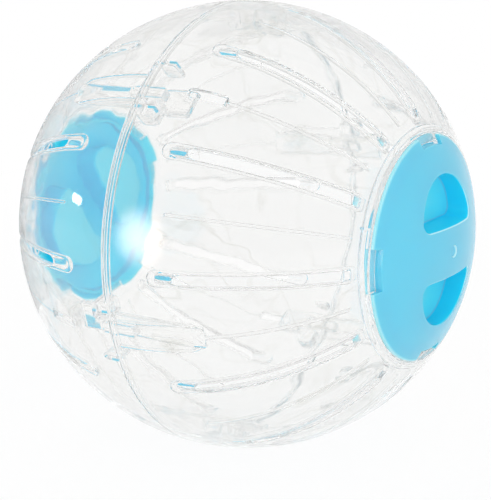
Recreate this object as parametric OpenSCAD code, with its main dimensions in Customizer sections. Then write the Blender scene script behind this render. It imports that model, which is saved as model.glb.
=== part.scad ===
// Exercise ball for a small pet: two clear half shells that latch together at
// the seam, and a coloured twist-lock door in the port at each end. The axis
// through both doors is X, and the origin is the middle of the ball.

/* [Ball] */
// Outer diameter at the seam
ball_d = 185; // [170:1:205]
// How far past the axis each wall arc is centred, which makes the ball slightly long
bulge = 4.2; // [0:0.1:8]
// Thickness of the clear wall
wall_t = 1.85; // [1.4:0.05:2.6]
// Gap between the two shells at the seam
seam_gap = 0.2; // [0.1:0.05:0.4]
// Width of the lip inside each seam edge
seam_lip_w = 1.5; // [1:0.1:2]
// How far the seam lip stands in from the wall
seam_lip_h = 1.4; // [0.8:0.1:2]

/* [Vents] */
// Number of vent slots in each shell
vent_count = 12; // [12]
// Width of a vent slot
vent_w = 4; // [2.5:0.1:5]
// How far the top of the slot lies below the seam radius
vent_drop = 4.25; // [3.5:0.05:6]
// Distance from the seam plane to the round end of the slot
vent_start = 18.6; // [16:0.1:24]
// Distance from the flat end of the slot to the height of the port edge
vent_port_gap = 6.2; // [5:0.1:12]
// Width of the bead on each side of a slot
bead_w = 1.2; // [0.8:0.1:1.8]
// How far the bead stands in from the wall
bead_h = 1.2; // [0.6:0.1:1.8]
// Width of the stiffening rib between two slots
rib_w = 1.2; // [0.8:0.1:2]
// How far the rib stands in from the wall
rib_h = 0.9; // [0.5:0.1:1.5]
// Distance from the seam plane to the start of a rib
rib_start = 22.9; // [18:0.1:30]

/* [Latches] */
// Number of latches round the seam, half of them on each shell
latch_count = 6; // [6]
// Width of a latch arm
arm_w = 8.6; // [7:0.1:10]
// Thickness of a latch arm
arm_t = 2.4; // [1.8:0.1:3]
// How far the outer face of the arm lies below the seam radius
arm_drop = 7.5; // [6.5:0.1:9]
// How far the arm reaches past the seam plane
arm_reach = 19.5; // [16:0.1:24]
// Width of the tooth on the side of the arm's tip
tooth_w = 2.6; // [1.6:0.1:3.2]
// Length of the keeper block along the axis
keeper_l = 8; // [6:0.1:10]
// Width of the keeper block that the tooth hooks behind
keeper_w = 7; // [4:0.1:9]
// Width of the guide block on the other side of the arm
guide_w = 2.4; // [1.5:0.1:4]
// Turn that frees the latches
seam_turn = 4; // [3.5:0.1:5]
// Clearance round the latch arms
latch_gap = 0.4; // [0.3:0.05:0.6]
// Width of the slot past the arm's tip
latch_slot_w = 4; // [2.5:0.1:5]
// Length of the slot past the arm's tip
latch_slot_l = 14.5; // [8:0.1:18]
// Width inside the frame bead round each latch arm
frame_w = 9.6; // [9:0.1:12]

/* [Door] */
// Diameter of the door's rim
door_d = 87.8; // [80:0.1:96]
// Rise of the door's dome above its rim
dome_rise = 11.4; // [10:0.1:14]
// Thickness of the door's wall
door_t = 1.5; // [1.2:0.05:2]
// Gap round the rim of the door
door_gap = 0.3; // [0.2:0.05:0.5]
// Clearance above and below the seat ledge
seat_gap = 0.3; // [0.25:0.05:0.4]
// Thickness of the seat ledge in the port
ledge_t = 1; // [0.8:0.05:1.4]
// Thickness of the locking lugs
lug_t = 1.3; // [1:0.05:1.8]
// How far the lugs stop short of the rim of the door
lug_inset = 0.4; // [0.2:0.05:0.8]
// Number of locking lugs
lug_count = 4; // [4]
// Arc of one lug
lug_arc = 22; // [16:1:26]
// Arc of one seat ledge
ledge_arc = 48; // [40:1:54]
// Angle from the middle of a lug to the stop rib it turns home against
stop_angle = 19.5; // [17:0.1:22]
// Distance from the rim of the door to the skirt that carries the lugs
skirt_inset = 3.9; // [3:0.1:5]
// Thickness of the skirt
skirt_t = 1.5; // [1:0.1:2.5]
// Clearance between the skirt and the seat ledge
skirt_gap = 0.5; // [0.4:0.05:0.8]

/* [Finger pockets] */
// Radius of the round side of a pocket
pocket_r = 19.5; // [15:0.1:21]
// Width of the grip bar between the pockets
grip_w = 19.6; // [16:0.1:24]
// Radius of the pocket's two corners
pocket_corner_r = 3.5; // [2:0.1:6]
// Depth of the pocket floor below the crown of the door
pocket_depth = 12.3; // [9:0.1:14]
// Thickness of the pocket's wall and floor
pocket_t = 1.5; // [1.2:0.1:2]
// Diameter of the moulding dimple in the middle of the door
dimple_d = 5; // [3:0.1:8]
// Depth of the moulding dimple
dimple_depth = 0.6; // [0.3:0.1:0.9]
// Width of the boss behind the dimple, beyond the dimple's edge
dimple_boss_w = 1.2; // [0.8:0.1:2]
// How far the boss stands in from the door's wall
dimple_boss_h = 0.8; // [0.5:0.1:1.2]

/* [Port] */
// Width of the thick ring round the port
ring_w = 2.2; // [1.6:0.1:4]
// Thickness of the ring round the port
ring_t = 3.3; // [2.9:0.1:4]
// Thickness of a stop rib
stop_t = 1; // [0.8:0.1:1.6]

/* [Hidden] */
$fn = 120;

clear_colour = [0.90, 0.94, 0.96, 0.45];
door_colour = [0.45, 0.82, 0.93];

// How deep joined features sink into the wall that carries them
sink = 0.4;
// How far a cutter passes the face that it cuts
overrun = 1;

ball_r = ball_d / 2;
arc_r = ball_r + bulge;

door_r = door_d / 2;
port_r = door_r + door_gap;
lug_r = door_r - lug_inset;
skirt_r = door_r - skirt_inset;
ledge_r = skirt_r + skirt_gap;
rim_z = wall_height(door_r, 0);
dome_r = (door_r * door_r + dome_rise * dome_rise) / (2 * dome_rise);
dome_z = rim_z + dome_rise - dome_r;
ledge_top = door_t + seat_gap;
ledge_bottom = ledge_top + ledge_t;
lug_top = ledge_bottom + seat_gap;
lug_bottom = lug_top + lug_t;
crown_z = rim_z + dome_rise;
pocket_floor_z = crown_z - pocket_depth;

vent_pitch = 360 / vent_count;
vent_top_r = ball_r - vent_drop;
vent_end = wall_height(port_r, 0) - vent_port_gap;
bead_end = vent_end + bead_w;

latch_pitch = 360 / latch_count;
latch_angle = 1.5 * vent_pitch;
arm_r = ball_r - arm_drop;
arm_end = wall_height(arm_r, sink);
arm_inner_r = arm_r - arm_t;
keeper_z = seam_gap / 2 + latch_gap;
tooth_z = keeper_z + keeper_l + latch_gap;
guide_offset = arm_w / 2 + arm_r * sin(seam_turn) + latch_gap;
latch_slot_end = arm_reach + latch_slot_l;

// Angle round the axis of the line that the left half is turned over about
pair_angle = latch_pitch / 2 - latch_angle - 90;
// The left door sits one lug round from the right one
door_step = 360 / lug_count;

// Height of the wall's surface at a radius, a depth below the outside
function wall_height(r, depth) = sqrt(pow(arc_r - depth, 2) - pow(r + bulge, 2));

// Disc whose edge is the wall's arc, a depth below the outside
module wall_disc(depth) translate([-bulge, 0]) circle(r = arc_r - depth);

// Strip of a half section between two depths of wall, two radii and two heights
module wall_strip(depth_0, depth_1, r_0, r_1, z_0, z_1) {
  intersection() {
    difference() {
      wall_disc(depth_0);
      wall_disc(depth_1);
    }
    translate([r_0, z_0]) square([r_1 - r_0, z_1 - z_0]);
  }
}

// Strip of a half section between two depths of the door's dome
module dome_strip(depth_0, depth_1, r_0, r_1) {
  intersection() {
    difference() {
      translate([0, dome_z]) circle(r = dome_r - depth_0);
      translate([0, dome_z]) circle(r = dome_r - depth_1);
    }
    translate([r_0, dome_z]) square([r_1 - r_0, dome_r]);
  }
}

// Sector of a dome strip, from one angle to another
module dome_sector(depth_0, depth_1, r_0, r_1, angle_0, angle_1) {
  rotate([0, 0, angle_0]) rotate_extrude(angle = angle_1 - angle_0)
    dome_strip(depth_0, depth_1, r_0, r_1);
}

// Stands a half section up in the radial plane at an angle, with a thickness
module radial_slab(angle, thickness) {
  rotate([0, 0, angle]) rotate([90, 0, 0])
    linear_extrude(height = thickness, center = true) children();
}

// Block with one round end, whose round end points down to the seam
module round_ended_block(angle, width, r_0, r_1, z_0, z_1) {
  rotate([0, 0, angle]) {
    translate([r_0, -width / 2, z_0 + width / 2])
      cube([r_1 - r_0, width, z_1 - z_0 - width / 2]);
    translate([r_0, 0, z_0 + width / 2]) rotate([0, 90, 0])
      cylinder(d = width, h = r_1 - r_0);
  }
}

// Bead along a line of the wall, with a round end near the seam
module bead(angle, width, z_0, z_1) {
  intersection() {
    radial_slab(angle, width)
      wall_strip(wall_t - sink, wall_t + bead_h, 0, arc_r, z_0, z_1);
    round_ended_block(angle, width, 0, arc_r, z_0, z_1);
  }
}

module vent_cut(angle) round_ended_block(angle, vent_w, port_r, vent_top_r, vent_start, vent_end);

module rib(angle, z_0) {
  radial_slab(angle, rib_w)
    wall_strip(wall_t - sink, wall_t + rib_h, 0, arc_r, z_0, vent_end);
}

// Arm that reaches over the seam, with its tooth and the pad that centres the other shell
module latch_arm(angle) {
  rotate([0, 0, angle]) {
    translate([arm_inner_r, -arm_w / 2, -arm_reach])
      cube([arm_t, arm_w, arm_reach + arm_end - arm_w / 2]);
    translate([arm_inner_r, 0, arm_end - arm_w / 2]) rotate([0, 90, 0])
      cylinder(d = arm_w, h = arm_t);
    translate([arm_inner_r, -arm_w / 2 - tooth_w, -arm_reach])
      cube([arm_t, tooth_w + sink, arm_reach - tooth_z]);
  }
  radial_slab(angle, arm_w / 2) intersection() {
    wall_disc(wall_t + seam_lip_h + latch_gap);
    translate([arm_r - sink, -keeper_l]) square([arm_drop, 2 * keeper_l]);
  }
}

// Keeper and guide that the other shell's arm slides between, and the slot past its tip
module latch_seat(angle) {
  rotate([0, 0, angle]) intersection() {
    union() {
      translate([arm_inner_r, arm_w / 2 + latch_gap, keeper_z])
        cube([arm_drop + arm_t, keeper_w, keeper_l]);
      translate([arm_inner_r, -guide_offset - guide_w, keeper_z])
        cube([arm_drop + arm_t, guide_w, keeper_l]);
    }
    rotate_extrude() intersection() {
      wall_disc(sink);
      square([arc_r, arc_r]);
    }
  }
}

module latch_slot(angle) {
  round_ended_block(angle, latch_slot_w, arm_inner_r - arm_t, arc_r, arm_reach, latch_slot_end);
}

// Raised frame on the wall over the root of an arm
module latch_frame(angle) {
  frame_out = frame_w + 2 * bead_w;
  difference() {
    radial_slab(angle, frame_out)
      wall_strip(wall_t - sink, wall_t + bead_h, 0, arc_r, seam_gap / 2, arm_end);
    rotate([0, 0, angle]) {
      translate([0, -frame_w / 2, -overrun])
        cube([arc_r, frame_w, overrun + arm_end - frame_w / 2]);
      translate([0, 0, arm_end - frame_w / 2 - bead_w]) rotate([0, 90, 0])
        cylinder(d = frame_w, h = arc_r);
    }
  }
}

// Wall, seam lip and port ring as one turned section
module shell_section() {
  seam_z = seam_gap / 2;
  wall_strip(0, wall_t, port_r, arc_r, seam_z, arc_r);
  wall_strip(wall_t - sink, wall_t + seam_lip_h, port_r, arc_r, seam_z, seam_z + seam_lip_w);
  wall_strip(0, ring_t, port_r, port_r + ring_w, 0, arc_r);
}

// One half shell, standing on its seam with the port on top
module half_shell() {
  difference() {
    union() {
      rotate_extrude() shell_section();
      for (i = [0 : vent_count - 1])
        bead(i * vent_pitch, vent_w + 2 * bead_w, vent_start - bead_w, bead_end);
      for (i = [0 : latch_count - 1]) {
        rib((i * 2 + 0.5) * vent_pitch, rib_start);
        rib((i * 2 + 1.5) * vent_pitch, i % 2 == 0 ? arm_end : latch_slot_end);
      }
      for (i = [0 : 2 : latch_count - 1]) {
        latch_arm(latch_angle + i * latch_pitch);
        latch_frame(latch_angle + i * latch_pitch);
        latch_seat(latch_angle + (i + 1) * latch_pitch);
      }
    }
    for (i = [0 : vent_count - 1]) vent_cut(i * vent_pitch);
    for (i = [0 : 2 : latch_count - 1]) latch_slot(latch_angle + (i + 1) * latch_pitch);
  }
  for (i = [0 : lug_count - 1]) {
    lug_angle = i * 360 / lug_count;
    stop_arc = stop_t / port_r * 180 / PI;
    dome_sector(ledge_top, ledge_bottom, ledge_r, port_r + sink,
      lug_angle - stop_angle - stop_arc, lug_angle - stop_angle - stop_arc + ledge_arc);
    dome_sector(ledge_top, lug_bottom, ledge_r, port_r + ring_w / 2,
      lug_angle - stop_angle - stop_arc, lug_angle - stop_angle);
  }
}

// Outline of a finger pocket, grown by a wall: a half disc with rounded corners
module pocket_outline(grow) {
  corner_y = sqrt(pow(pocket_r - pocket_corner_r, 2) - pow(pocket_corner_r, 2));
  tangent = (pocket_r + grow) / (pocket_r - pocket_corner_r);
  tangent_x = pocket_corner_r * tangent;
  tangent_y = corner_y * tangent;
  translate([grip_w / 2, 0]) {
    intersection() {
      circle(r = pocket_r + grow);
      translate([tangent_x, -tangent_y]) square([pocket_r + grow, 2 * tangent_y]);
    }
    polygon([[-grow, -corner_y], [tangent_x, -tangent_y], [tangent_x, tangent_y], [-grow, corner_y]]);
    for (side = [-1, 1])
      translate([pocket_corner_r, side * corner_y]) circle(r = pocket_corner_r + grow);
  }
}

// One door, crown up, in the frame of the half shell that it closes
module door() {
  difference() {
    union() {
      rotate_extrude() {
        dome_strip(0, door_t, 0, door_r);
        dome_strip(door_t - sink, lug_bottom, skirt_r - skirt_t, skirt_r);
        dome_strip(door_t - sink, door_t + dimple_boss_h, 0, dimple_d / 2 + dimple_boss_w);
      }
      intersection() {
        for (side = [0, 180]) rotate([0, 0, side])
          translate([0, 0, pocket_floor_z - pocket_t])
            linear_extrude(height = pocket_depth) pocket_outline(pocket_t);
        translate([0, 0, dome_z]) sphere(r = dome_r - sink);
      }
    }
    for (side = [0, 180]) rotate([0, 0, side])
      translate([0, 0, pocket_floor_z])
        linear_extrude(height = pocket_depth + overrun) pocket_outline(0);
    for (i = [0 : lug_count - 1])
      dome_sector(-overrun, door_t + seat_gap, skirt_r, door_r + overrun,
        i * 360 / lug_count - lug_arc / 2, i * 360 / lug_count + lug_arc / 2);
    translate([0, 0, crown_z - dimple_depth]) cylinder(d = dimple_d, h = dimple_depth + overrun);
  }
  for (i = [0 : lug_count - 1])
    dome_sector(lug_top, lug_bottom, skirt_r - sink, lug_r,
      i * 360 / lug_count - lug_arc / 2, i * 360 / lug_count + lug_arc / 2);
}

// Turns a piece made standing on the seam so that its port faces +X
module right_half() rotate([0, 90, 0]) children();

// The same half turned over to face -X, so that its arms fall between the other's
module left_half() {
  rotate(a = 180, v = [0, -cos(pair_angle), sin(pair_angle)]) right_half() children();
}

module shell_right() color(clear_colour) right_half() half_shell();
module shell_left() color(clear_colour) left_half() half_shell();
module door_right() color(door_colour) right_half() door();
module door_left() color(door_colour) left_half() rotate([0, 0, door_step]) door();

shell_right();
shell_left();
door_right();
door_left();
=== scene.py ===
# Looks for the pet exercise ball. Both clear half shells and both coloured doors are rebuilt
# with the rounded edges, rolled beads and slightly uneven inner wall of moulded plastic.
import bmesh
import bpy
import math
import numpy as np
from mathutils import Matrix, Vector


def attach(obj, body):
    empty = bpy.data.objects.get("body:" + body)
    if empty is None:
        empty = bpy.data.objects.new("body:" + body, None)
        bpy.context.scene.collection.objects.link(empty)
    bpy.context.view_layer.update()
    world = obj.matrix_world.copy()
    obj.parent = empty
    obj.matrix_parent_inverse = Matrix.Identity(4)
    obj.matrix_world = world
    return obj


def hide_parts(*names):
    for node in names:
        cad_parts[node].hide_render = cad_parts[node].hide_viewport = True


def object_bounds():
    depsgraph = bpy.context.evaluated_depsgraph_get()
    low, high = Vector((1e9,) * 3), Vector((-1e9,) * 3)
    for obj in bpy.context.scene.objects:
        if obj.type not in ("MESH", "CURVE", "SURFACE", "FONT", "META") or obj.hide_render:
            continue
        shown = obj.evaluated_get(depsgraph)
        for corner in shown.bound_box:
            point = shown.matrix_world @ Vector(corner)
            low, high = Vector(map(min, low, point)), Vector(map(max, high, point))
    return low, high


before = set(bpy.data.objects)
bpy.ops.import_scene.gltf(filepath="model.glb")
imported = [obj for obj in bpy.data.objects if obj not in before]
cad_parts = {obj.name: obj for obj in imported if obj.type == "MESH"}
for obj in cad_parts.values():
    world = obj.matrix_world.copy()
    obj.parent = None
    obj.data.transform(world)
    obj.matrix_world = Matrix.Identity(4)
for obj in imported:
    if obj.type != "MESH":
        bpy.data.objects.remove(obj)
cad_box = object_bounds()
scene = bpy.context.scene
scene.view_settings.view_transform = "Standard"

# ---------- sizes in mm, in the frame of one half that stands on its seam with its port on top ----------

MM = 0.001
BALL_R, BULGE, WALL_T = 92.5, 4.2, 1.85
ARC_R = BALL_R + BULGE
SEAM_Z, SEAM_LIP_W, SEAM_LIP_H = 0.1, 1.5, 1.4
PORT_R, RING_W, RING_T = 44.2, 2.2, 3.3
VENT_COUNT, VENT_W, VENT_START, VENT_PORT_GAP = 12, 4.0, 18.6, 6.2
VENT_TOP_R = 88.25  # radius that a slot's cut reaches out to, which leaves its start blind
VENT_ARCH, SCOOP_RISE, SCOOP_L = 1.3, 0.7, 7.0  # how the blind start is rounded across and scooped along
BEAD_W, BEAD_H = 1.2, 1.2
RIB_W, RIB_H, RIB_START = 1.2, 0.9, 22.9
ARM_W, ARM_T, ARM_R, ARM_REACH, TOOTH_W = 8.6, 2.4, 85.0, 19.5, 2.6
KEEPER_Z, KEEPER_L, KEEPER_W, KEEPER_R = 0.5, 8.0, 7.0, 90.9
GUIDE_W, GUIDE_OFFSET, GUIDE_R = 2.4, 10.63, 90.4
LATCH_GAP, FRAME_W, FRAME_SEAM_GAP = 0.4, 9.6, 0.3
SLOT_W, SLOT_L, SLOT_FROM_R, SLOT_TO_R = 4.0, 14.5, 78, 96  # slot past an arm's tip, and its cutter's reach
DOOR_R, DOOR_T, DOME_RISE = 43.9, 1.5, 11.4
LEDGE_R, LEDGE_TOP, LEDGE_BOTTOM, LEDGE_ARC = 40.5, 1.8, 2.8, 48.0
LUG_COUNT, LUG_TOP, LUG_BOTTOM, LUG_R, LUG_ARC = 4, 3.1, 4.4, 43.5, 22.0
SKIRT_R, SKIRT_T = 40.0, 1.5
STOP_ANGLE, STOP_ARC = 19.5, 1.296
STOP_INSET, STOP_DROP = 0.05, 0.1  # how far a stop rib stands back from its ledge, inside and on top
POCKET_R, GRIP_W, POCKET_CORNER, POCKET_DEPTH, POCKET_T = 19.5, 19.6, 3.5, 12.3, 1.5
DIMPLE_R, DIMPLE_DEPTH, BOSS_W, BOSS_H = 2.5, 0.6, 1.2, 0.8
PAIR_ANGLE = math.radians(-105)  # the line in the seam plane about which the left half is turned over
SINK = 0.4  # how deep a joined feature sinks into what carries it
OVERRUN = 1  # how far a cutter passes the face that it cuts
NEARLY = 0.01  # what a fully rounded end's radius falls short by, so that the end keeps a narrow flat

# Radii of rounded edges: of beads, slots and the port, of the wall's section, and of each feature
EDGE = 0.45
SEAM_EDGE, RING_EDGE, FILLET, LIP_EDGE, LIP_SEAM_EDGE = 0.3, 0.5, 0.35, 0.4, 0.25
SLOT_CORNER, BEAD_CORNER, RIB_CORNER, RIB_EDGE = 0.6, 1.6, 0.55, 0.4
ARM_CORNER, ARM_EDGE, TOOTH_CORNER, PAD_EDGE = 1.0, 0.5, 0.8, 0.1
KEEPER_CORNER, KEEPER_EDGE, GUIDE_CORNER, GUIDE_EDGE = 1.6, 1.2, 1.0, 0.9
LEDGE_EDGE, STOP_EDGE, WINDOW_EDGE, LUG_EDGE = 0.35, 0.3, 0.3, 0.4
RIM_EDGE, RIM_UNDER_EDGE, SKIRT_EDGE, DOME_FILLET = 0.5, 0.35, 0.4, 0.5
BOSS_EDGE, DIMPLE_EDGE, DIMPLE_MOUTH = 0.3, 0.35, 0.4
TUB_EDGE, FLOOR_EDGE, POCKET_LIP = 1.4, 0.9, 0.7

# How finely round things are cut up
TURN_STEPS, DOOR_STEPS, DIMPLE_STEPS, SECTOR_DEGREES = 288, 216, 48, 1.5
CORNER_STEPS, EDGE_STEPS, BAR_ROWS, LONG_ROWS, BLOCK_ROWS = 6, 3, 20, 40, 4
WALL_OUT_STEPS, WALL_IN_STEPS, DOME_OUT_STEPS, DOME_IN_STEPS = 66, 60, 40, 32
POCKET_STEPS, POCKET_ARC_STEPS, TUB_STEPS, LIP_STEPS = 8, 24, 5, 4
TINY, WELD = 1e-6, 1e-4  # a radius that counts as none, and how near two points are to become one


def wall_x(z, depth):
    """Radius of the wall's surface at a height, a depth below the outside."""
    return math.sqrt((ARC_R - depth) ** 2 - z * z) - BULGE


def wall_z(r, depth):
    """Height of the wall's surface at a radius, a depth below the outside."""
    return math.sqrt((ARC_R - depth) ** 2 - (r + BULGE) ** 2)


RIM_Z = wall_z(DOOR_R, 0)
DOME_R = (DOOR_R ** 2 + DOME_RISE ** 2) / (2 * DOME_RISE)
DOME_Z = RIM_Z + DOME_RISE - DOME_R
CROWN_Z = RIM_Z + DOME_RISE
POCKET_FLOOR_Z = CROWN_Z - POCKET_DEPTH
VENT_END = wall_z(PORT_R, 0) - VENT_PORT_GAP
ARM_END = wall_z(ARM_R, SINK)
BEAD_TOP = WALL_T + BEAD_H


def dome_z(r, depth):
    """Height of the door's dome at a radius, a depth below the outside."""
    return DOME_Z + math.sqrt((DOME_R - depth) ** 2 - r * r)


def at_depth(depth):
    """For a loop of bar(): follows the wall, a depth below the outside."""
    return lambda z: wall_x(z, depth)


def at_radius(x):
    """For a loop of bar(): flat, at one distance from the axis."""
    return lambda z: x


# ---------- mesh helpers ----------

def solid(verts, faces):
    """Mesh object from points and faces, with double points joined and its normals outward."""
    mesh = bpy.data.meshes.new("work")
    mesh.from_pydata(verts, [], faces)
    bm = bmesh.new()
    bm.from_mesh(mesh)
    bmesh.ops.remove_doubles(bm, verts=bm.verts, dist=WELD)
    bmesh.ops.recalc_face_normals(bm, faces=bm.faces)
    bm.to_mesh(mesh)
    bm.free()
    return placed("work", mesh)


def placed(name, mesh):
    """Object of a mesh, in the scene."""
    obj = bpy.data.objects.new(name, mesh)
    scene.collection.objects.link(obj)
    return obj


def skin(rings):
    """Solid through rings of equally many points, with a ladder of faces across each end."""
    n = len(rings[0])
    verts = [p for ring in rings for p in ring]
    faces = []
    for r in range(len(rings) - 1):
        for k in range(n):
            a, b = r * n + k, r * n + (k + 1) % n
            faces.append((a, b, b + n, a + n))
    for base in (0, (len(rings) - 1) * n):
        faces += [(base + k, base + k + 1, base + n - 2 - k, base + n - 1 - k) for k in range(n // 2 - 1)]
    return solid(verts, faces)


def lathe(section, steps=TURN_STEPS, start=0.0, turn=360.0):
    """Turns a closed section of (r, z) points about Z, all the way or through a sector with flat ends."""
    whole = turn >= 360
    count = steps if whole else steps + 1
    verts = []
    for i in range(count):
        a = math.radians(start + turn * i / steps)
        verts += [(r * math.cos(a), r * math.sin(a), z) for r, z in section]
    n, faces = len(section), []
    for i in range(steps):
        j = (i + 1) % count
        for k in range(n):
            m = (k + 1) % n
            if section[k][0] > TINY or section[m][0] > TINY:
                faces.append((i * n + k, i * n + m, j * n + m, j * n + k))
    if not whole:
        faces += [tuple(range(n)), tuple(range(steps * n, steps * n + n))]
    return solid(verts, faces)


def rounded(corners, steps=4):
    """Closed outline through corners of (x, y, radius)."""
    points = []
    for i, (x, y, radius) in enumerate(corners):
        here = Vector((x, y))
        if not radius:
            points.append((x, y))
            continue
        before = (Vector(corners[i - 1][:2]) - here).normalized()
        after = (Vector(corners[(i + 1) % len(corners)][:2]) - here).normalized()
        half = math.acos(max(-1, min(1, before.dot(after)))) / 2
        middle = here + (before + after).normalized() * (radius / math.sin(half))
        start = here + before * (radius / math.tan(half)) - middle
        end = here + after * (radius / math.tan(half)) - middle
        turn = math.atan2(start.x * end.y - start.y * end.x, start.dot(end))
        for k in range(steps + 1):
            c, s = math.cos(turn * k / steps), math.sin(turn * k / steps)
            points.append((middle.x + c * start.x - s * start.y, middle.y + s * start.x + c * start.y))
    return points


def plain(points):
    """Corners with no radius."""
    return [(x, y, 0) for x, y in points]


def sector(corners, start, turn):
    """Short piece of a turned section with flat ends."""
    return lathe(rounded(corners, EDGE_STEPS), max(2, int(turn / SECTOR_DEGREES)), start, turn)


def bar_outline(half, z0, z1, r0, r1, inset, rows):
    """(y, z) outline of a bar along Z with rounded corners, moved in by an inset."""
    plus = []
    for k in range(CORNER_STEPS + 1):
        a = math.radians(90 * k / CORNER_STEPS - 90)
        plus.append((half - r0 + (r0 - inset) * math.cos(a), z0 + r0 + (r0 - inset) * math.sin(a)))
    low, high = z0 + r0, z1 - r1
    plus += [(half - inset, low + (high - low) * k / rows) for k in range(1, rows)]
    for k in range(CORNER_STEPS + 1):
        a = math.radians(90 * k / CORNER_STEPS)
        plus.append((half - r1 + (r1 - inset) * math.cos(a), z1 - r1 + (r1 - inset) * math.sin(a)))
    return plus + [(-y, z) for y, z in reversed(plus)]


def bar(half, z0, z1, r0, r1, loops, rows=BAR_ROWS, shift=0.0):
    """Bar that lies along the axis: each loop is (inset, radius as a function of height)."""
    return skin([[(height(z), y + shift, z) for y, z in bar_outline(half, z0, z1, r0, r1, inset, rows)]
                 for inset, height in loops])


def round_over(radius, steps=EDGE_STEPS):
    """(inset, rise) pairs of a rounded edge, from its side to its top."""
    angles = [math.pi / 2 * k / steps for k in range(1, steps + 1)]
    return [(radius * (1 - math.cos(a)), radius * math.sin(a)) for a in angles]


def wall_bead(half, z0, z1, r0, r1, height, edge, rows=BAR_ROWS):
    """Raised bar on the inside of the wall with a rounded top."""
    side = WALL_T + height - edge
    loops = [(0, at_depth(WALL_T - SINK)), (0, at_depth(side))]
    loops += [(inset, at_depth(side + rise)) for inset, rise in round_over(edge)]
    return bar(half, z0, z1, r0, r1, loops, rows)


def block(half, z0, z1, corner, x0, x1, edge, shift=0.0, far_edge=0.0):
    """Block with rounded edges on its inner side, and on its outer side if far_edge is given."""
    loops = [(inset, at_radius(x0 + edge - rise)) for inset, rise in reversed(round_over(edge))]
    loops += [(0, at_radius(x0 + edge)), (0, at_radius(x1 - far_edge))]
    if far_edge:
        loops += [(inset, at_radius(x1 - far_edge + rise)) for inset, rise in round_over(far_edge)]
    return bar(half, z0, z1, corner, corner, loops, BLOCK_ROWS, shift)


def turned(obj, degrees):
    """The object, its mesh turned about Z."""
    obj.data.transform(Matrix.Rotation(math.radians(degrees), 4, "Z"))
    return obj


def joined(objects):
    """One object out of several."""
    bm = bmesh.new()
    for o in objects:
        bm.from_mesh(o.data)
    mesh = bpy.data.meshes.new("work")
    bm.to_mesh(mesh)
    bm.free()
    for o in objects:
        bpy.data.objects.remove(o)
    return placed("work", mesh)


def combined(base, tool, operation):
    """The base with the tool added, cut away or intersected."""
    change = base.modifiers.new("combine", "BOOLEAN")
    change.operation, change.solver, change.object = operation, "MANIFOLD", tool
    graph = bpy.context.evaluated_depsgraph_get()
    mesh = bpy.data.meshes.new_from_object(base.evaluated_get(graph))
    base.modifiers.clear()
    base.data = mesh
    bpy.data.objects.remove(tool)
    return base


# ---------- one half shell ----------

def arc_points(depth, r_from, r_to, count):
    """Points of the wall's arc between two radii, evenly along the arc."""
    radius = ARC_R - depth
    a0, a1 = (math.acos((r + BULGE) / radius) for r in (r_from, r_to))
    spread = [a0 + (a1 - a0) * k / count for k in range(count + 1)]
    return [(radius * math.cos(a) - BULGE, radius * math.sin(a)) for a in spread]


def shell_wall():
    """Wall, seam lip and port ring, turned in one section."""
    lip = WALL_T + SEAM_LIP_H
    lip_z = SEAM_Z + SEAM_LIP_W
    ring_r = PORT_R + RING_W
    outer = arc_points(0, wall_x(SEAM_Z, 0), PORT_R, WALL_OUT_STEPS)
    inner = arc_points(WALL_T, ring_r, wall_x(lip_z, WALL_T), WALL_IN_STEPS)
    corners = [(*outer[0], SEAM_EDGE)] + plain(outer[1:-1]) + [(*outer[-1], EDGE)]
    corners += [(PORT_R, wall_z(PORT_R, RING_T), EDGE), (ring_r, wall_z(ring_r, RING_T), RING_EDGE)]
    corners += [(*inner[0], FILLET)] + plain(inner[1:-1]) + [(*inner[-1], FILLET)]
    corners += [(wall_x(lip_z, lip), lip_z, LIP_EDGE), (wall_x(SEAM_Z, lip), SEAM_Z, LIP_SEAM_EDGE)]
    return lathe(rounded(corners))


def vent_slot():
    """Cutter of one vent slot: flared at the bead and the outer wall, with a scoop for its blind start."""
    half, arch_step = VENT_W / 2, 0.2
    arch_r = (half ** 2 + VENT_ARCH ** 2) / (2 * VENT_ARCH)
    angles = [math.pi / 2 * k / EDGE_STEPS for k in range(EDGE_STEPS + 1)]
    flare = [(-EDGE, BEAD_TOP + OVERRUN)]
    flare += [(-EDGE * (1 - math.sin(a)), BEAD_TOP - EDGE * (1 - math.cos(a))) for a in angles]
    mouth = [(-EDGE * (1 - math.cos(a)), EDGE * (1 - math.sin(a))) for a in angles] + [(-EDGE, -OVERRUN)]

    def outline(inset):
        return bar_outline(half, VENT_START, VENT_END, half, SLOT_CORNER, inset, LONG_ROWS)

    rings = [[(min(wall_x(z, depth), VENT_TOP_R - VENT_ARCH), y, z) for y, z in outline(inset)]
             for inset, depth in flare]
    for k, (inset, depth) in enumerate(mouth):
        ring, blind = [], arch_step * half * k
        drop = arch_r - math.sqrt(arch_r ** 2 - (half - blind) ** 2)
        for (y0, z0), (y1, z1) in zip(outline(blind), outline(inset)):
            open_share = max(0, min(1, (VENT_TOP_R - wall_x(z0, 0)) / EDGE))
            y, z = y0 + (y1 - y0) * open_share, z0 + (z1 - z0) * open_share
            scoop = SCOOP_RISE * max(0, 1 - (z0 - VENT_START) / SCOOP_L) ** 2
            blind_x = max(VENT_TOP_R - drop - scoop, VENT_TOP_R - VENT_ARCH)
            ring.append(((1 - open_share) * blind_x + open_share * wall_x(z, depth), y, z))
        rings.append(ring)
    return skin(rings)


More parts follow.
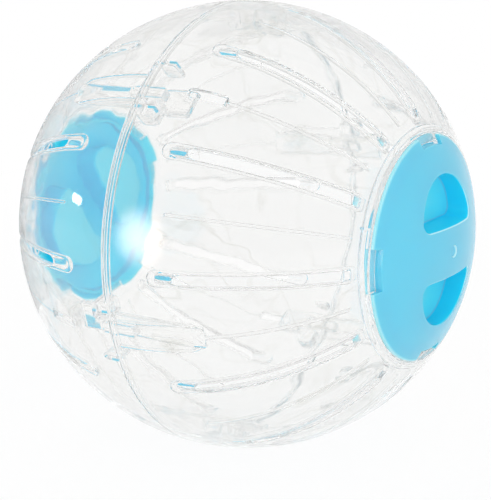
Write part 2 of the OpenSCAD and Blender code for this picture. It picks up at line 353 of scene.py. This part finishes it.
def latch_arm():
    """Arm over the seam with its tooth and centring pad."""
    half = ARM_W / 2
    under = ARM_R - ARM_T
    body = block(half, -ARM_REACH, ARM_END, ARM_CORNER, under, ARM_R, ARM_EDGE, 0.0, ARM_EDGE)
    tooth_half = (TOOTH_W + half) / 2
    tooth = block(tooth_half, -ARM_REACH, -KEEPER_Z - KEEPER_L - LATCH_GAP, TOOTH_CORNER, under, ARM_R,
                  ARM_EDGE, -half - TOOTH_W + tooth_half, ARM_EDGE)
    pad_r = wall_x(KEEPER_L, WALL_T + SEAM_LIP_H + LATCH_GAP)
    pad = block(half / 2, -KEEPER_L, KEEPER_L, TOOTH_CORNER, ARM_R - SINK, pad_r, PAD_EDGE, 0.0, ARM_EDGE)
    return combined(combined(body, tooth, "UNION"), pad, "UNION")


def latch_frame():
    """Raised frame on the wall over the root of an arm."""
    half, outer = FRAME_W / 2, FRAME_W / 2 + BEAD_W
    ring = wall_bead(outer, SEAM_Z + FRAME_SEAM_GAP, ARM_END, SLOT_CORNER, outer - NEARLY, BEAD_H, EDGE)
    loops = [(-EDGE, at_depth(BEAD_TOP + OVERRUN)), (-EDGE, at_depth(BEAD_TOP))]
    loops += [(EDGE * math.sin(a) - EDGE, at_depth(BEAD_TOP - EDGE + EDGE * math.cos(a)))
              for a in (math.pi / 6, math.pi / 3, math.pi / 2)]
    loops += [(0, at_depth(WALL_T - 2 * SINK))]
    hole = bar(half, -2 * OVERRUN, ARM_END - BEAD_W, SLOT_CORNER, half - NEARLY, loops)
    return combined(ring, hole, "DIFFERENCE")


def latch_seat():
    """Keeper and guide that the other shell's arm slides between."""
    x0, z1 = ARM_R - ARM_T, KEEPER_Z + KEEPER_L
    keeper_y = ARM_W / 2 + LATCH_GAP + KEEPER_W / 2
    guide_y = -GUIDE_OFFSET - GUIDE_W / 2
    return [block(KEEPER_W / 2, KEEPER_Z, z1, KEEPER_CORNER, x0, KEEPER_R, KEEPER_EDGE, keeper_y),
            block(GUIDE_W / 2, KEEPER_Z, z1, GUIDE_CORNER, x0, GUIDE_R, GUIDE_EDGE, guide_y)]


def latch_slot():
    """Cutter of the slot past the tip of the other shell's arm."""
    half = SLOT_W / 2
    return bar(half, ARM_REACH, ARM_REACH + SLOT_L, half, SLOT_CORNER,
               [(0, at_radius(SLOT_FROM_R)), (0, at_radius(SLOT_TO_R))])


def under_dome(r0, r1, bottom, top, edges):
    """Corners of a section between two radii and two depths below the door's dome."""
    corners = ((r0, bottom), (r1, bottom), (r1, top), (r0, top))
    return [(r, dome_z(r, depth), edge) for (r, depth), edge in zip(corners, edges)]


def door_seat(i):
    """One of the ledges that hold the door, and the stop rib at its start."""
    start = i * 360 / LUG_COUNT - STOP_ANGLE - STOP_ARC
    edges = (LEDGE_EDGE, 0, 0, LEDGE_EDGE)
    ledge = sector(under_dome(LEDGE_R, PORT_R + SINK, LEDGE_BOTTOM, LEDGE_TOP, edges), start, LEDGE_ARC)
    inner, top = LEDGE_R + STOP_INSET, LEDGE_TOP + STOP_DROP
    outer = PORT_R + RING_W / 2
    stop = sector([(inner, dome_z(LEDGE_R, LUG_BOTTOM), STOP_EDGE), (outer, dome_z(outer, LUG_BOTTOM), 0),
                   (outer, dome_z(outer, top), 0), (inner, dome_z(LEDGE_R, top), 0)], start, STOP_ARC)
    return ledge, stop


def half_shell():
    """One clear half: the wall with all that is joined to it, then its slots, then the seat of the door."""
    pitch = 360 / VENT_COUNT
    beads, ribs, frames, arms, seats, slots = [], [], [], [], [], []
    for i in range(VENT_COUNT):
        between = (i + 0.5) * pitch
        half = VENT_W / 2 + BEAD_W
        z0, z1 = VENT_START - BEAD_W, VENT_END + BEAD_W
        bead = wall_bead(half, z0, z1, half, BEAD_CORNER, BEAD_H, EDGE, LONG_ROWS)
        beads.append(turned(bead, i * pitch))
        slots.append(turned(vent_slot(), i * pitch))
        # Every second gap between vents has a latch: by turns this half's arm and a seat for the other's
        latch, own = i % 2 == 1, i % 4 == 1
        start = RIB_START if not latch else ARM_END - SLOT_CORNER if own else ARM_REACH + SLOT_L
        rib = wall_bead(RIB_W / 2, start, VENT_END, RIB_CORNER, RIB_CORNER, RIB_H, RIB_EDGE)
        ribs.append(turned(rib, between))
        if own:
            arms.append(turned(latch_arm(), between))
            frames.append(turned(latch_frame(), between))
        elif latch:
            seats += [turned(o, between) for o in latch_seat()]
            slots.append(turned(latch_slot(), between))
    ledges, stops = zip(*(door_seat(i) for i in range(LUG_COUNT)))
    shell = shell_wall()
    for batch, operation in ((beads + seats + ribs, "UNION"), (frames, "UNION"), (arms, "UNION"),
                             (slots, "DIFFERENCE"), (ledges, "UNION"), (stops, "UNION")):
        shell = combined(shell, joined(batch), operation)
    return shell


# ---------- one door ----------

def pocket_ring(inset, level):
    """Outline of a finger pocket, a half disc with rounded corners. level gives the height at a radius."""
    middle = GRIP_W / 2
    corner_y = math.sqrt((POCKET_R - POCKET_CORNER) ** 2 - POCKET_CORNER ** 2)
    meet = math.atan2(corner_y, POCKET_CORNER)
    plus = [(middle + inset, corner_y * k / POCKET_STEPS) for k in range(POCKET_STEPS)]
    for k in range(POCKET_STEPS + 1):
        a = math.pi + (meet - math.pi) * k / POCKET_STEPS
        radius = POCKET_CORNER - inset
        plus.append((middle + POCKET_CORNER + radius * math.cos(a), corner_y + radius * math.sin(a)))
    for k in range(1, POCKET_ARC_STEPS + 1):
        a = meet * (1 - k / POCKET_ARC_STEPS)
        plus.append((middle + (POCKET_R - inset) * math.cos(a), (POCKET_R - inset) * math.sin(a)))
    outline = plus + [(x, -y) for x, y in reversed(plus)]
    return [(x, y, level(math.hypot(x, y))) for x, y in outline]


def pocket_tub():
    """Wall and floor of a pocket, as a solid that reaches past the crown."""
    side_z = POCKET_FLOOR_Z - POCKET_T + TUB_EDGE
    loops = [(inset - POCKET_T, side_z - rise) for inset, rise in reversed(round_over(TUB_EDGE, TUB_STEPS))]
    loops += [(-POCKET_T, side_z), (-POCKET_T, CROWN_Z + 2 * OVERRUN)]
    return skin([pocket_ring(inset, lambda r: z) for inset, z in loops])


def pocket_cut():
    """Cutter of a pocket, rounded at its floor and flared at its lip."""
    side_z = POCKET_FLOOR_Z + FLOOR_EDGE
    rings = [pocket_ring(inset, lambda r: side_z - rise)
             for inset, rise in reversed(round_over(FLOOR_EDGE, LIP_STEPS))]
    rings.append(pocket_ring(0, lambda r: side_z))
    for k in range(LIP_STEPS + 1):
        a = math.pi / 2 * k / LIP_STEPS
        rings.append(pocket_ring(-POCKET_LIP * (1 - math.cos(a)),
                                 lambda r: dome_z(r, POCKET_LIP * (1 - math.sin(a)))))
    rings.append(pocket_ring(-POCKET_LIP, lambda r: CROWN_Z + 4 * OVERRUN))
    return skin(rings)


def dome_arc(depth, r_from, r_to, count):
    """Points of the dome's arc between two radii, evenly along the arc."""
    radius = DOME_R - depth
    a0, a1 = math.asin(r_from / radius), math.asin(r_to / radius)
    spread = [a0 + (a1 - a0) * k / count for k in range(count + 1)]
    return [(radius * math.sin(a), DOME_Z + radius * math.cos(a)) for a in spread]


def door_dome():
    """Dome, skirt and the boss behind the dimple, turned in one section."""
    boss_r, boss = DIMPLE_R + BOSS_W, DOOR_T + BOSS_H
    under = SKIRT_R - SKIRT_T
    outer = dome_arc(0, 0, DOOR_R, DOME_OUT_STEPS)
    inner = dome_arc(DOOR_T, under, boss_r, DOME_IN_STEPS)
    corners = plain(outer[:-1]) + [(*outer[-1], RIM_EDGE)]
    corners.append((DOOR_R, dome_z(DOOR_R, DOOR_T), RIM_UNDER_EDGE))
    for r, depth in ((SKIRT_R, DOOR_T), (SKIRT_R, LUG_BOTTOM), (under, LUG_BOTTOM)):
        corners.append((r, dome_z(r, depth), SKIRT_EDGE))
    corners += [(*inner[0], DOME_FILLET)] + plain(inner[1:-1]) + [(*inner[-1], BOSS_EDGE)]
    corners += [(boss_r, dome_z(boss_r, boss), BOSS_EDGE), (0, dome_z(0, boss), 0)]
    return lathe(rounded(corners), DOOR_STEPS)


def door():
    """One door: the dome with its pocket tubs, then pockets, windows and dimple cut out, then the lugs."""
    outside = [(0, DOME_Z)] + list(reversed(dome_arc(SINK, 0, DOOR_R + 4 * OVERRUN, DOME_OUT_STEPS)))
    tubs = joined([pocket_tub(), turned(pocket_tub(), 180)])
    tubs = combined(tubs, lathe(outside, DOOR_STEPS), "INTERSECT")
    piece = combined(door_dome(), tubs, "UNION")
    cuts = [pocket_cut(), turned(pocket_cut(), 180)]
    lugs, rim, foot = [], DOOR_R + OVERRUN, SKIRT_R - SINK
    for i in range(LUG_COUNT):
        start = i * 360 / LUG_COUNT - LUG_ARC / 2
        window = under_dome(SKIRT_R, rim, LEDGE_TOP, -OVERRUN, (WINDOW_EDGE, 0, 0, 0))
        cuts.append(sector(window, start, LUG_ARC))
        lug = under_dome(foot, LUG_R, LUG_BOTTOM, LUG_TOP, (0, LUG_EDGE, LUG_EDGE, 0))
        lugs.append(sector(lug, start, LUG_ARC))
    bottom_z, mouth_z = CROWN_Z - DIMPLE_DEPTH, CROWN_Z + DIMPLE_MOUTH
    dish = [(0, bottom_z, 0), (DIMPLE_R - DIMPLE_DEPTH, bottom_z, DIMPLE_EDGE),
            (DIMPLE_R + DIMPLE_MOUTH, mouth_z, 0), (0, mouth_z, 0)]
    cuts.append(lathe(rounded(dish), DIMPLE_STEPS))
    piece = combined(piece, joined(cuts), "DIFFERENCE")
    return combined(piece, joined(lugs), "UNION")


# ---------- from the half's frame to the object's frame, with the true normals ----------

SHARP_ANGLE = math.radians(38)
ON_WALL, SAME_WAY = 0.03, 0.97  # how near a point is to the wall in mm, and a face to the wall's normal
# Lengths and heights of the inner wall's waves, three of each
WAVES = ((46, 0.10), (38, 0.08), (30, 0.06), (24, 0.045), (19, 0.03), (15, 0.022), (12, 0.018),
         (9, 0.016), (6.5, 0.012))
RIGHT = Matrix.Rotation(math.pi / 2, 4, "Y")
LEFT = Matrix.Rotation(math.pi, 4, Vector((0, -math.cos(PAIR_ANGLE), math.sin(PAIR_ANGLE)))) @ RIGHT
QUARTER = Matrix.Rotation(math.pi / 2, 4, "Z")


def wall_field(p):
    """Depth and outward normal of points by the wall's arc."""
    flat = np.hypot(p[:, 0], p[:, 1])
    radius = np.hypot(flat + BULGE, p[:, 2])
    scale = (flat + BULGE) / radius / np.maximum(flat, TINY)
    return ARC_R - radius, np.stack([p[:, 0] * scale, p[:, 1] * scale, p[:, 2] / radius], 1)


def dome_field(p):
    """Depth and outward normal of points by the dome's sphere."""
    away = p - np.array([0, 0, DOME_Z])
    radius = np.linalg.norm(away, axis=1)
    return DOME_R - radius, away / radius[:, None]


def inner_waves(p):
    """Uneven thickness of the moulded wall: how far its inner face rises, and that height's slope."""
    rng = np.random.RandomState(11)
    rise, slope = np.zeros(len(p)), np.zeros((len(p), 3))
    for length, height in WAVES:
        for _ in range(3):
            way = rng.normal(size=3)
            way *= 2 * math.pi / length / np.linalg.norm(way)
            phase = rng.uniform(0, 2 * math.pi)
            rise += height / 3 * np.sin(p @ way + phase)
            slope += height / 3 * np.cos(p @ way + phase)[:, None] * way
    return rise, slope


def read(items, attribute, width, kind=float):
    """An attribute of all items, as an array of rows of the width."""
    values = np.empty(len(items) * width, kind)
    items.foreach_get(attribute, values)
    return values.reshape(-1, width)


def finished(source, node, matrix, field, thickness, waves, material):
    """A copy of the source in its node's place, smooth where its wall is smooth, and crisp at its edges."""
    mesh = source.data.copy()
    mesh.name = node + "_look"
    mesh.shade_smooth()
    mesh.set_sharp_from_angle(angle=SHARP_ANGLE)
    co = read(mesh.vertices, "co", 3)
    corner = read(mesh.corner_normals, "vector", 3)
    sides = read(mesh.polygons, "loop_total", 1, int)[:, 0]
    face = np.repeat(read(mesh.polygons, "normal", 3), sides, axis=0)
    which = read(mesh.loops, "vertex_index", 1, int)[:, 0]
    depth, out = field(co)
    on_outer, on_inner = np.abs(depth) < ON_WALL, np.abs(depth - thickness) < ON_WALL
    true_in = -out
    if waves is not None:
        rise, slope = waves(co)
        slope -= (slope * out).sum(1)[:, None] * out
        true_in = true_in + slope
        true_in /= np.linalg.norm(true_in, axis=1)[:, None]
        co = co - out * (rise * on_inner)[:, None]
    for mask, normal in ((on_outer, out), (on_inner, true_in)):
        use = mask[which] & ((face * normal[which]).sum(1) > SAME_WAY)
        corner[use] = normal[which][use]
    mesh.vertices.foreach_set("co", co.ravel())
    mesh.transform(Matrix.Scale(MM, 4) @ matrix)
    mesh.normals_split_custom_set((corner @ np.array(matrix.to_3x3()).T).tolist())
    mesh.materials.clear()  # of the empty slot that the booleans leave
    mesh.materials.append(material)
    obj = placed(mesh.name, mesh)
    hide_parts(node)
    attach(obj, node)


# ---------- node helpers ----------

def new_nodes(owner):
    """Empties the owner's node tree and returns a function that adds a node with its values and links."""
    owner.use_nodes = True
    tree = owner.node_tree
    tree.nodes.clear()

    def add(kind, values=(), **settings):
        node = tree.nodes.new("ShaderNode" + kind)
        for key, value in settings.items():
            setattr(node, key, value)
        for socket, value in dict(values).items():
            if isinstance(value, bpy.types.NodeSocket):
                tree.links.new(value, node.inputs[socket])
            else:
                node.inputs[socket].default_value = value
        return node
    return add


def calc(add, operation, *values):
    """Output of a Math node."""
    return add("Math", dict(enumerate(values)), operation=operation).outputs[0]


def vector_calc(add, operation, *values):
    """Output of a Vector Math node: a number from a length or a dot product, or else a vector."""
    kind = "Value" if operation in ("LENGTH", "DOT_PRODUCT") else "Vector"
    return add("VectorMath", dict(enumerate(values)), operation=operation).outputs[kind]


def remap(add, value, low, high, start=0.0, end=1.0, shape="LINEAR"):
    """The value moved from low..high to start..end, and held at both ends."""
    values = {"Value": value, 1: low, 2: high, 3: start, 4: end}
    return add("MapRange", values, interpolation_type=shape).outputs[0]


def blend(add, share, base, other):
    """Colour that goes from the base to the other with the share."""
    return add("Mix", {0: share, 6: base, 7: other}, data_type="RGBA").outputs[2]


def shader(add, kind, **values):
    """Output of a shader node, with its sockets' values by name."""
    return add(kind, {key.replace("_", " "): value for key, value in values.items()}).outputs[0]


def mixed(add, share, first, second):
    """Shader that goes from the first to the second with the share."""
    return add("MixShader", {0: share, 1: first, 2: second}).outputs[0]


# ---------- materials ----------

WHITE = (1, 1, 1, 1)
CLEAR_TINT, FLOW_LINE = (0.991, 0.991, 0.987, 1), (0.90, 0.90, 0.88, 1)
HAZE_COLOUR, GAP_COLOUR = (0.82, 0.81, 0.79, 1), (0.97, 0.975, 0.975, 1)
HAZE, HAZE_DEPTH = 0.05, 3.5  # share of a ray that the skin scatters, and the bounces after which it stops
FLOW_LINE_RANGE = (0.001, 0.009)  # how near the middle of the noise a flow line is full, and where it ends
PLASTIC_IOR = 1.5
# The second colour is the plastic's own blue; the first is painted shade, a deeper and more saturated blue on
# pocket walls and inner faces
BLUE_PAINTED_SHADE, BLUE_FACE = (0.03, 0.65, 0.95, 1), (0.14, 0.57, 0.77, 1)
# Painted light: the first colour is a paler blue on the pockets' floors, as where light passes the thin
# floor; the second is a painted highlight on the pockets' lips and the door's rim
BLUE_PAINTED_FLOOR_LIGHT, BLUE_PAINTED_HIGHLIGHT = (0.11, 0.69, 0.90, 1), (0.55, 0.86, 0.95, 1)
BLUE_TONE, BLUE_GLOSS = (0.965, 1.035), (0.12, 0.24)  # value and roughness over the range of the cloudy noise
# Ranges over which these colours fade in, by how far a face looks outward, from -1 to 1
UNSHADED_FACE_OUT, SKIRT_OUT, LIT_FLOOR_OUT = (0.35, 0.8), (-0.6, -0.3), (0.92, 0.97)
LIP_HIGHLIGHT_OUT, LIP_HIGHLIGHT_TO_FACE = (0.2, 0.5), (0.95, 0.7)
# The same in metres from the axis
SKIRT_REACH = ((SKIRT_R - 4) * MM, (SKIRT_R - 3) * MM)
RIM_HIGHLIGHT_REACH = ((DOOR_R - 0.9) * MM, (DOOR_R - 0.1) * MM)
# The same in metres from the seam plane, where the floor's painted light fades out again
LIP_HIGHLIGHT_LEVEL = ((CROWN_Z - 5) * MM, (CROWN_Z - 4) * MM)
LIT_FLOOR_LEVEL = ((POCKET_FLOOR_Z + 0.1) * MM, (POCKET_FLOOR_Z + 0.5) * MM)
LIP_HIGHLIGHT_SHARE, RIM_HIGHLIGHT_SHARE = 0.9, 0.6  # how much of the painted highlight the pockets' lips and the rim take


def clear_material():
    """Clear moulded plastic with faint flow lines, and a trace of haze on its skin.
    Light that is caught in the wall meets no haze."""
    m = bpy.data.materials.new("clear_plastic")
    add = new_nodes(m)
    place = add("TexCoord").outputs["Object"]
    flow = add("TexNoise", {"Vector": place, "Scale": 20.0, "Detail": 2.5, "Roughness": 0.55,
                            "Distortion": 0.5}).outputs["Fac"]
    off_line = calc(add, "ABSOLUTE", calc(add, "SUBTRACT", flow, 0.5))
    tint = blend(add, remap(add, off_line, *FLOW_LINE_RANGE, 1.0, 0.0), CLEAR_TINT, FLOW_LINE)
    plastic = shader(add, "BsdfPrincipled", Base_Color=tint, Roughness=0.05, IOR=PLASTIC_IOR,
                     Transmission_Weight=1.0)
    haze = shader(add, "BsdfDiffuse", Color=HAZE_COLOUR)
    path = add("LightPath").outputs
    share = calc(add, "MULTIPLY", calc(add, "LESS_THAN", path["Ray Depth"], HAZE_DEPTH), HAZE)
    # Matt light and shadows pass the clear wall as if it were thin air
    gap = shader(add, "BsdfTransparent", Color=GAP_COLOUR)
    soft = calc(add, "MAXIMUM", path["Is Shadow Ray"], path["Is Diffuse Ray"])
    add("OutputMaterial", {"Surface": mixed(add, soft, mixed(add, share, plastic, haze), gap)})
    return m


def blue_material():
    """Glossy blue plastic with a moulded face's faint clouds; painted shade in the pockets, painted light on
    their floors and a painted highlight on their lips and the rim.
    """
    m = bpy.data.materials.new("blue_plastic")
    add = new_nodes(m)
    coordinates = add("TexCoord").outputs
    place = coordinates["Object"]
    cloud = add("TexNoise", {"Vector": place, "Scale": 38.0, "Detail": 3.0}).outputs["Fac"]
    fine = add("TexNoise", {"Vector": place, "Scale": 900.0, "Detail": 2.0}).outputs["Fac"]
    # Where on the door a point is: along and from the axis, and which way it faces
    along = add("SeparateXYZ", {0: place}).outputs["X"]
    away = calc(add, "ABSOLUTE", along)
    reach = vector_calc(add, "LENGTH", vector_calc(add, "MULTIPLY", place, (0, 1, 1)))
    normal = add("SeparateXYZ", {0: coordinates["Normal"]}).outputs["X"]
    out = calc(add, "MULTIPLY", normal, calc(add, "SIGN", along))
    # Where the plastic's own blue shows instead of painted shade: the face, and the walls of skirt and
    # windows
    skirt = calc(add, "MULTIPLY", remap(add, reach, *SKIRT_REACH), remap(add, out, *SKIRT_OUT))
    face = calc(add, "MAXIMUM", remap(add, out, *UNSHADED_FACE_OUT), skirt)
    # The pockets' floors, made paler: painted light, as where light passes the thin floor
    level = remap(add, calc(add, "ABSOLUTE", normal), *LIT_FLOOR_OUT)
    painted_floor_light = calc(add, "MULTIPLY", remap(add, away, *LIT_FLOOR_LEVEL, 1.0, 0.0), level)
    # Painted highlight: a pale blue on the pockets' rounded lips and on the door's rim
    slope = calc(add, "MULTIPLY", remap(add, out, *LIP_HIGHLIGHT_OUT), remap(add, out, *LIP_HIGHLIGHT_TO_FACE))
    lip = calc(add, "MULTIPLY", slope, remap(add, away, *LIP_HIGHLIGHT_LEVEL, 0.0, LIP_HIGHLIGHT_SHARE))
    lip = calc(add, "MAXIMUM", lip, remap(add, reach, *RIM_HIGHLIGHT_REACH, 0.0, RIM_HIGHLIGHT_SHARE))
    # Painted shade where a face does not look outward, then the painted light of the floors and the painted
    # highlight of lips and rim
    tint = blend(add, face, BLUE_PAINTED_SHADE, BLUE_FACE)
    tint = blend(add, lip, blend(add, painted_floor_light, tint, BLUE_PAINTED_FLOOR_LIGHT), BLUE_PAINTED_HIGHLIGHT)
    tone, gloss = (remap(add, cloud, 0.0, 1.0, *ends) for ends in (BLUE_TONE, BLUE_GLOSS))
    colour = add("HueSaturation", {"Color": tint, "Value": tone}).outputs[0]
    grain = add("Bump", {"Height": fine, "Strength": 0.04, "Distance": 0.0001}).outputs[0]
    plastic = shader(add, "BsdfPrincipled", Base_Color=colour, Roughness=gloss, IOR=PLASTIC_IOR,
                     Subsurface_Weight=0.75, Subsurface_Radius=(0.4, 0.9, 1.0), Subsurface_Scale=0.005,
                     Normal=grain)
    add("OutputMaterial", {"Surface": plastic})
    return m


clear, blue = clear_material(), blue_material()
half, lid = half_shell(), door()
finished(half, "shell_right", RIGHT, wall_field, WALL_T, inner_waves, clear)
finished(half, "shell_left", LEFT, wall_field, WALL_T, inner_waves, clear)
finished(lid, "door_right", RIGHT, dome_field, DOOR_T, None, blue)
finished(lid, "door_left", LEFT @ QUARTER, dome_field, DOOR_T, None, blue)
for work in (half, lid):
    bpy.data.objects.remove(work)

# ---------- studio, in metres ----------

AMBIENT = 0.84  # strength of the sky for matt surfaces
MIRROR_SKY = 0.85  # grey that gloss and glass see above the floor
# Azimuth, elevation, inner and outer angle, and what is left of that grey in the middle
GREY_FIELDS = [(146, 58, 8, 48, 0.66), (148, 12, 5, 85, 0.90)]
# The same, with the strength that a lamp's spot adds in the middle
GLOWS = [(azimuth, 9, 1.0, 2.0, 20.0) for azimuth in (-122, -120, -118)]
FLOOR_SIZE, FLOOR_DROP, FLOOR_GREY = 6.0, 0.0002, (0.92, 0.92, 0.92, 1)
FLOOR_SHADOW, SHADOW_FROM, SHADOW_TO = 0.12, 0.2, 0.7  # share of the shadow in view, and where it fades
CARD_POINTS = 48
SENSOR, LENS, NEAREST = 36, 94.27, 0.01
CAMERA_PLACE, CAMERA_TURN = (0.30202, -0.44230, 0.12022), (76.234, 1.122, 34.103)
BOUNCES = 48  # for rays that pass many clear walls or are caught in one


def direction(azimuth, elevation):
    """Unit vector towards a point of the sky. Azimuth 0 is +Y and 90 is +X."""
    a, e = math.radians(azimuth), math.radians(elevation)
    return (math.sin(a) * math.cos(e), math.cos(a) * math.cos(e), math.sin(e))


def backdrop_rays(add):
    """Whether a ray is a mirror or glass ray with no matt surface before it, and whether it sees the
    backdrop."""
    path = add("LightPath").outputs
    mirror = calc(add, "MAXIMUM", path["Is Glossy Ray"], path["Is Transmission Ray"])
    mirror = calc(add, "MULTIPLY", mirror, calc(add, "LESS_THAN", path["Diffuse Depth"], 0.5))
    return mirror, calc(add, "MAXIMUM", path["Is Camera Ray"], mirror)


def outer_glint(add, count):
    """1 for a glint on the outermost face alone, so that it shows once and not again in the walls behind.
    The ray's count there is 1 at a card and 2 at the world."""
    return calc(add, "LESS_THAN", add("LightPath").outputs["Ray Depth"], count + 0.5)


def studio_world():
    """White to the camera. Gloss and glass see a paler and greyer studio round the backdrop."""
    world = bpy.data.worlds.new("studio")
    add = new_nodes(world)
    mirror, shown = backdrop_rays(add)
    look = add("TexCoord").outputs["Generated"]
    first = outer_glint(add, 2)

    def towards(azimuth, elevation, inner, outer, rim, middle):
        facing = vector_calc(add, "DOT_PRODUCT", look, direction(azimuth, elevation))
        low, high = math.cos(math.radians(outer)), math.cos(math.radians(inner))
        return remap(add, facing, low, high, rim, middle, "SMOOTHERSTEP")

    level = MIRROR_SKY
    for azimuth, elevation, inner, outer, value in GREY_FIELDS:
        level = calc(add, "MULTIPLY", level, towards(azimuth, elevation, inner, outer, 1.0, value))
    for azimuth, elevation, inner, outer, value in GLOWS:
        glow = calc(add, "MULTIPLY", towards(azimuth, elevation, inner, outer, 0.0, value), first)
        level = calc(add, "ADD", level, glow)
    seen = add("Mix", {0: mirror, 2: 1.0, 3: level}).outputs[0]
    soft = shader(add, "Background", Color=WHITE, Strength=AMBIENT)
    white = shader(add, "Background", Color=WHITE, Strength=seen)
    add("OutputWorld", {"Surface": mixed(add, shown, soft, white)})
    scene.world = world


def area_lamp(name, place, size, power):
    """Square lamp that points at the ball's middle and lights matt surfaces alone. Its power is in watts."""
    lamp = bpy.data.lights.new(name, "AREA")
    lamp.size, lamp.energy = size, power
    obj = bpy.data.objects.new(name, lamp)
    obj.location = place
    obj.rotation_euler = (-Vector(place)).to_track_quat("-Z", "Y").to_euler()
    obj.visible_glossy = obj.visible_transmission = False
    scene.collection.objects.link(obj)


def stage_sheet(name, outline, surface):
    """Flat sheet of the studio. surface makes its shader, from add and the distance to the sheet's origin."""
    mesh = bpy.data.meshes.new(name)
    mesh.from_pydata(outline, [], [tuple(range(len(outline)))])
    m = bpy.data.materials.new(name)
    add = new_nodes(m)
    reach = vector_calc(add, "LENGTH", add("TexCoord").outputs["Object"])
    add("OutputMaterial", {"Surface": surface(add, reach)})
    mesh.materials.append(m)
    obj = placed(name, mesh)
    return obj


def floor():
    """Pale floor under the ball. To the camera, gloss and glass it shows as the white backdrop, with a
    little of the ball's shadow."""
    def surface(add, reach):
        matt = shader(add, "BsdfDiffuse", Color=FLOOR_GREY)
        share = remap(add, reach, SHADOW_FROM, SHADOW_TO, FLOOR_SHADOW, 0.0, "SMOOTHERSTEP")
        backdrop = mixed(add, share, shader(add, "Emission", Color=WHITE, Strength=1.0),
                         shader(add, "BsdfDiffuse", Color=WHITE))
        return mixed(add, backdrop_rays(add)[1], matt, backdrop)

    z = cad_box[0].z - FLOOR_DROP
    corners = ((-1, -1), (1, -1), (1, 1), (-1, 1))
    stage_sheet("floor", [(x * FLOOR_SIZE, y * FLOOR_SIZE, z) for x, y in corners], surface)


def soft_card(name, place, radius, colour, strength):
    """Round card with a soft edge that shows only as a glow or a grey in shiny faces."""
    def surface(add, reach):
        glow = remap(add, reach, radius, 0.0, 0.0, 1.0, "SMOOTHERSTEP")
        glow = calc(add, "MULTIPLY", glow, outer_glint(add, 1))
        return mixed(add, glow, shader(add, "BsdfTransparent", Color=WHITE),
                     shader(add, "Emission", Color=(*colour, 1), Strength=strength))

    angles = [2 * math.pi * k / CARD_POINTS for k in range(CARD_POINTS)]
    obj = stage_sheet(name, [(radius * math.cos(a), radius * math.sin(a), 0) for a in angles], surface)
    obj.location = place
    obj.rotation_euler = (-Vector(place)).to_track_quat("Z", "Y").to_euler()
    obj.visible_camera = obj.visible_diffuse = obj.visible_transmission = obj.visible_shadow = False


studio_world()
area_lamp("key", (0.35, -0.75, 0.85), 0.7, 1.1)
area_lamp("front_fill", (0.6, -0.9, 0.12), 0.7, 2.8)
area_lamp("top_fill", (-0.38, 0.365, 1.08), 0.5, 0.8)
floor()
soft_card("glow_card", (-0.112, -0.427, 0.033), 0.128, (1, 0.76, 0.62), 18.0)
soft_card("grey_card", (-0.211, 0.025, -0.020), 0.23, (0.98, 0.985, 1), 0.50)

camera = bpy.data.cameras.new("camera")
camera.sensor_width, camera.lens, camera.clip_start = SENSOR, LENS, NEAREST
view = bpy.data.objects.new("camera", camera)
view.location = CAMERA_PLACE
view.rotation_euler = [math.radians(a) for a in CAMERA_TURN]
scene.collection.objects.link(view)
scene.camera = view
cycles = scene.cycles
cycles.max_bounces = cycles.transmission_bounces = BOUNCES
cycles.glossy_bounces = cycles.transparent_max_bounces = BOUNCES
